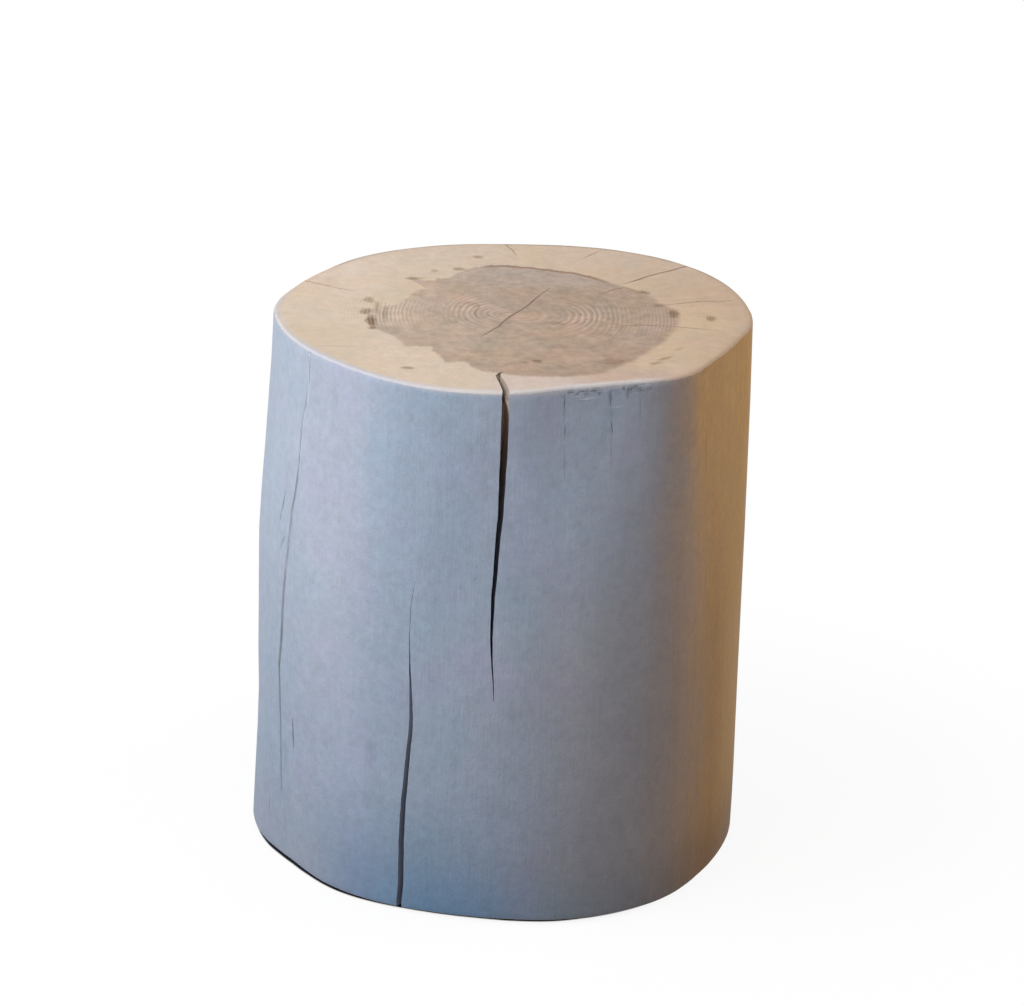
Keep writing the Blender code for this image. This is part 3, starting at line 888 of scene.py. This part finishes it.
def wash():
    """Matte blue-grey wash over smooth debarked wood, worn to warm brown on the right, with painted light
    and shade in its colour.
    """
    material, where = new_material("blue_grey_wash")
    x, y, z = split(where)
    bearing = bearing_of(x, y)
    share = z / HEIGHT

    cloud = noise(where, (12, 12, 7.2), 3, 0.55)
    hue = noise(where, (21, 21, 16.8))
    streak = noise(where, (90, 90, 2.2), 3, 0.55)
    grain = noise(where, (420, 420, 30), 3, 0.6)
    patch = noise(where, 62)
    mottle = noise(where, 160, 3, 0.6)
    speckle = noise(where, 620, 2, 0.6)
    spots = noise(where, 85, 2, 0.6, shift=255)

    # Blue-grey, bluer and darker towards the base and on the left of centre; the darkening towards the base
    # is painted shade
    bluer = shaded((155, 171, 191), 0.83 + share * 0.17)
    base = tint(ramp(bearing, -104, -68), (118, 139, 164), (138, 139, 148))
    base = tint(ramp(x, -0.105, -0.165), base, (144, 152, 168))
    colour = tint(ramp(share, 0.05, 0.75), (146, 157, 176), (168, 176, 192))
    colour = tint(near(bearing + cloud * 3, -112, 4, 20) * 0.8, colour, bluer)
    # Painted light: the middle of the front is made a little lighter
    centre = near(bearing, -93, 4, 15) * ramp(share, 0.35, 0.6)
    colour = tint(centre, colour, multiplied(colour, (1.015, 1.045, 1.065)))
    colour = tint(ramp(share, 0.28, -0.04), colour, base)
    # Painted light: patches of the side made lighter
    for facing, core, reach, level, level_core, level_reach, factors in PAINTED_LIGHT_PATCHES:
        painted_light_patch = near(bearing, facing, core, reach) * near(share, level, level_core, level_reach)
        colour = tint(painted_light_patch, colour, multiplied(colour, factors))
    lavender = ramp(hue, 0, 0.9)
    cyan = ramp(hue, 0, -0.9)
    colour = multiplied(colour, vector(1 + lavender * 0.03 - cyan * 0.04, 1 - lavender * 0.027,
                                       1 + lavender * 0.018))

    # The side to the right is bare of wash by degrees, through a dull violet of painted shade, to a warm
    # brown
    turned = bearing + cloud * 2.5 + streak * 1.2 + mottle
    higher = ramp(share, 0.35, 0.95)
    painted = ramp(turned, 60, 14)
    dull = tint(ramp(share, 0.05, 0.8), (139, 132, 132), (149, 145, 150))
    # The brown is partly bare wood and partly painted warm light from the right, and darker towards the
    # base as painted shade
    brown = tinted(
        tint(ramp(share, 0.25, 0.95), (154, 113, 65), (182, 138, 85)),
        (ramp(turned, -30, -10), shaded((188, 140, 72), 0.62 + share * 0.34)),
        (ramp(turned, -4, 24), shaded((180, 143, 98), 0.7 + share * 0.3)),
        (ramp(share, 0.2, 0), (122, 83, 22)),
    )
    turning_shade_share = ramp(turned, blend(higher, -96, -65), blend(higher, -48, -46))
    warm_lit_brown_share = ramp(turned, blend(higher, -60, -54), blend(higher, -23, -35))
    bare = warm_lit_brown_share * painted
    colour = tinted(colour, (turning_shade_share * painted, dull), (bare, brown))
    # Painted shade near the base at the front: bluer on the wash, browner on the right
    foot_shade = ramp(share, 0.13, 0) * ramp(bearing, -132, -106) * painted
    right_foot_shade = ramp(bearing, -76, -54)
    darker = vector(blend(warm_lit_brown_share, blend(right_foot_shade, 0.81, 0.75), 0.87),
                    blend(warm_lit_brown_share, blend(right_foot_shade, 0.94, 0.8), 0.78),
                    blend(warm_lit_brown_share, blend(right_foot_shade, 1.02, 0.86), 0.64))
    colour = warmer(tint(foot_shade, colour, multiplied(colour, darker)), spots * 0.014)
    # Painted shade: the wash is darker at the far left edge
    colour = tint(ramp(x, -0.15, -0.186), colour, multiplied(colour, (0.92, 0.96, 0.965)))

    # Tone: clouds, mottle and fine grain, fibres in the bare wood, and scuffs under the arris
    fibre = noise(where, (210, 210, 4), 3, 0.6)
    vein = noise(where, (62, 62, 1.5))
    lines = ramp(noise(where, (150, 150, 3), 1), 0.75, 1.2)
    scuffs = noise(where, (300, 300, 390), 3, 0.7)
    scuffed = ramp(z, HEIGHT - 0.014, HEIGHT - 0.006) * near(bearing, -66, 10, 14)
    tone = 1 + cloud * 0.03 + patch * 0.045 + mottle * 0.08
    tone += streak * 0.012 + grain * 0.024 + speckle * 0.036
    tone += bare * (fibre * 0.045 + vein * 0.05 - mottle * 0.01) - lines * 0.05
    tone += scuffed * ramp(scuffs, -0.3, -0.8) * 0.18 - scuffed * ramp(scuffs, 0.1, 0.6) * 0.2
    colour = shaded(colour, tone)

    # Rubbed pale just under the arris, and the single marks
    right_front = ramp(bearing, -98, -80)
    below_edge = HEIGHT - z - 0.0014 + mottle * 0.0004
    rubbed = ramp(below_edge / blend(right_front, 0.0036, 0.0058), 1, 0)
    rubbed = rubbed * ramp(bearing, -130, -100) * ramp(bearing, -46, -60)
    colour = tint(rubbed * blend(right_front, 0.55, 0.85), colour, (192, 188, 193))
    worn = 0
    for facing, below, half_width, half_height, strength in SMUDGES:
        across = (bearing - facing) * (BASE_RADIUS * 1000 * math.pi / 180 / half_width)
        down = (HEIGHT - z) * (1000 / half_height) - below / half_height
        covered = ramp(length(across, down) + scuffs * 0.25, 1.25, 0.35)
        mark = (84, 90, 104) if strength > 0 else (196, 200, 210)
        colour = tint(covered * abs(strength), colour, mark)
        worn += covered * strength
    height = grain * 0.35 + speckle * 0.3 + streak * 0.4 + mottle * 0.5
    height -= scuffed * scuffs * 2 + worn * 2
    roughness = 0.56 + grain * 0.03 + cloud * 0.03
    return finish(material, colour, roughness, height, 0.00016, specular=0.22)


def felt_material():
    """Pressed grey-brown felt with crossed fibres."""
    material, where = new_material("pressed_felt")
    fibres = noise(where, (2600, 500, 900), 3, 0.6) + noise(where, (500, 2600, 900), 3, 0.6)
    fluff = noise(where, 420, 3, 0.6)
    colour = tint(ramp(fibres, -0.6, 0.6), (84, 77, 70), (116, 107, 97))
    colour = shaded(colour, 1 + fluff * 0.1)
    return finish(material, colour, 0.94 + fluff * 0.03, fibres + fluff, 0.0003, specular=0.15)


def plate_material():
    """Dark moulded plastic with a fine grain."""
    material, where = new_material("moulded_plastic")
    grain = noise(where, 2200)
    scuff = noise(where, 300, 3, 0.7)
    colour = tint(ramp(scuff, 0.1, 0.8) * 0.4, (41, 37, 34), (66, 60, 55))
    return finish(material, colour, 0.42 + scuff * 0.08, grain, 0.00004, specular=0.45)


def nail_material():
    """Drawn steel with fine scratches along the shank."""
    material, where = new_material("drawn_steel")
    scratches = noise(where, (5000, 5000, 120))
    dull = noise(where, 400)
    colour = tint(ramp(dull, -0.4, 0.6), (158, 157, 152), (184, 183, 178))
    roughness = 0.32 + scratches * 0.08 + dull * 0.05
    return finish(material, colour, roughness, scratches, 0.00002, metallic=1)


def mark_arris(mesh):
    """Store, at each vertex, 1 on the rounded top edge and 0 away from it."""
    points = np.zeros(len(mesh.vertices) * 3)
    mesh.vertices.foreach_get("co", points)
    x, y = points.reshape(-1, 3).T[:2]
    inset = outline(np.degrees(np.arctan2(y, x)), 1) + WOOD_LIFT - np.hypot(x, y)
    strength = 1 - np.clip((inset - ARRIS * 0.9) / ARRIS_FADE, 0, 1)
    layer = mesh.attributes.new("arris", "FLOAT", "POINT")
    layer.data.foreach_set("value", strength.astype(np.float32))


def place_piece(name, mesh, location, replaced):
    """A piece that the stool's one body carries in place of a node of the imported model."""
    piece = add_object(name, mesh)
    piece.location = location
    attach(piece, "root")
    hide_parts(replaced)


def make_log_and_wash():
    """The bare log with every check cut into it, and the wash that the checks split and that has flaked."""
    wood = log_mesh()
    skin = wash_mesh()
    wood.materials.append(end_grain())
    coat = wash()
    skin.materials.append(coat)
    walls = check_walls()
    fine_walls = hairline_walls()
    deep = side_check_meshes((SEAT_CHECK, FOOT_CHECK))
    fine = side_check_meshes((LEFT_CHECK,)) + hairline_meshes()
    on_faces = face_check_meshes()
    chips = chip_meshes()
    wood = carve(carve(wood, deep, walls), fine + on_faces, fine_walls)
    skin = carve(carve(carve(skin, deep, walls), fine, fine_walls), chips, coat)
    for cutter in deep + fine + on_faces + chips:
        bpy.data.meshes.remove(cutter)
    mark_arris(wood)
    on_base = (AXIS.x, AXIS.y, BASE_Z)
    place_piece("log_wood", wood, on_base, "log_block")
    place_piece("side_wash", skin, on_base, "side_coat")


def make_felt(number, material):
    """A pressed felt disc with a soft, slightly uneven rim."""
    low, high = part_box(f"felt_pad_{number}")
    bearing = np.arange(FELT_COLUMNS) * 360 / FELT_COLUMNS
    uneven = 0.00018 * noise_at(ring_points(1, number * 3.0, bearing), (7, 7, 1), 5.0)
    rings = []
    for radius_share, height_share in FELT_PROFILE:
        radius = (FELT_RADIUS - 0.0002) * radius_share + uneven * radius_share
        rings.append(ring_points(radius, FELT_THICKNESS * height_share, bearing))
    mesh = loft(f"felt_disc_{number}", rings, False)
    mesh.shade_smooth()
    mesh.materials.append(material)
    location = ((low.x + high.x) / 2, (low.y + high.y) / 2, low.z)
    place_piece(f"felt_disc_{number}", mesh, location, f"felt_pad_{number}")


def dress_node(name, material):
    """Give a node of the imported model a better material."""
    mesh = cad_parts[name].data
    mesh.materials.clear()
    mesh.materials.append(material)


def make_glides():
    """The felt discs, and finishes for the plates and nails above them."""
    felt = felt_material()
    plate = plate_material()
    nail = nail_material()
    for number in GLIDES:
        make_felt(number, felt)
        dress_node(f"glide_plate_{number}", plate)
        dress_node(f"glide_nail_{number}", nail)


def make_camera():
    """The photograph's viewpoint."""
    data = bpy.data.cameras.new("camera")
    data.sensor_width = SENSOR_MM
    data.lens = FOCAL_PIXELS * SENSOR_MM / IMAGE_WIDTH
    camera = add_object("camera", data)
    place_at = Vector((AXIS.x + CAMERA_X, AXIS.y - CAMERA_BACK, BASE_Z + CAMERA_UP))
    tilt = Matrix.Rotation(math.radians(90 - CAMERA_PITCH), 4, "X")
    roll = Matrix.Rotation(math.radians(CAMERA_ROLL), 4, "Z")
    camera.matrix_world = Matrix.Translation(place_at) @ tilt @ roll
    bpy.context.scene.camera = camera


def make_floor():
    """A plain pale floor that the camera sees as white, that keeps the stool's shadow and has a painted
    contact shadow round its edge.
    """
    reach = 30.0
    corners = [(-reach, -reach, 0), (reach, -reach, 0), (reach, reach, 0), (-reach, reach, 0)]
    mesh = bpy.data.meshes.new("floor")
    mesh.from_pydata(corners, [], [(0, 1, 2, 3)])
    floor = add_object("floor", mesh)
    material, where = new_material("floor")
    tree = material.node_tree
    shown = 0.0
    for seen_by in ("Is Camera Ray", "Is Glossy Ray", "Is Transmission Ray"):
        shown = calc("MAXIMUM", shown, add_node(tree, "ShaderNodeLightPath", {}, seen_by))
    x, y = split(where)[:2]
    from_x = x - AXIS.x
    from_y = y - AXIS.y
    distance = length(from_x, from_y)

    # White runs up to the stool's edge, but for a painted shadow: a dark line where the gap under it lies
    # in shade
    rim = [(angle, float(outline(angle, 0)) * 1000) for angle in range(-180, 181, 6)]
    edge = curve(bearing_of(from_x, from_y), -180, 180, rim, 220) / 1000.0
    margin = blend(ramp(x, -0.06, -0.15), -0.0068, -0.0016)
    margin += near(x, -0.168, 0.01, 0.03) * 0.0008 + near(x, 0.032, 0.016, 0.045) * 0.0009
    outside = distance - edge - margin
    glowing = ramp(outside, -0.0008, 0.0016) * 0.9 + ramp(distance, 0.25, 0.65) * 0.1
    line = tint(ramp(outside, -0.0008, 0.001), (44, 49, 58), (252, 252, 252))
    diffuse = node("ShaderNodeBsdfDiffuse", {"Color": tint(shown, (150, 150, 152), line)})
    glow = add_node(tree, "ShaderNodeEmission", {"Color": (1, 1, 1, 1), "Strength": 1.0})
    mixed = node("ShaderNodeMixShader", {0: shown * glowing, 1: diffuse, 2: glow})
    show(tree, "ShaderNodeOutputMaterial", mixed)
    mesh.materials.append(material)


def make_light():
    """Soft studio light: a pale surround, two large lamps on the left and a weaker one on the right."""
    scene = bpy.context.scene
    scene.world = bpy.data.worlds.new("surround")
    scene.world.use_nodes = True
    tree = scene.world.node_tree
    tree.nodes.clear()
    seen = add_node(tree, "ShaderNodeLightPath", {}, "Is Camera Ray")
    surround = node("ShaderNodeBackground", {"Color": (1, 1, 1, 1), "Strength": blend(seen, SURROUND, 1.0)})
    show(tree, "ShaderNodeOutputWorld", surround)
    for name, location, power in LAMPS:
        data = bpy.data.lights.new(name, "AREA")
        data.shape = "SQUARE"
        data.size = LAMP_SIZE
        data.energy = power
        lamp = add_object(name, data)
        lamp.location = location
        lamp.rotation_mode = "QUATERNION"
        lamp.rotation_quaternion = (Vector(LAMP_TARGET) - Vector(location)).to_track_quat("-Z", "Y")
    scene.view_settings.view_transform = "Standard"


make_camera()
make_log_and_wash()
make_glides()
make_floor()
make_light()
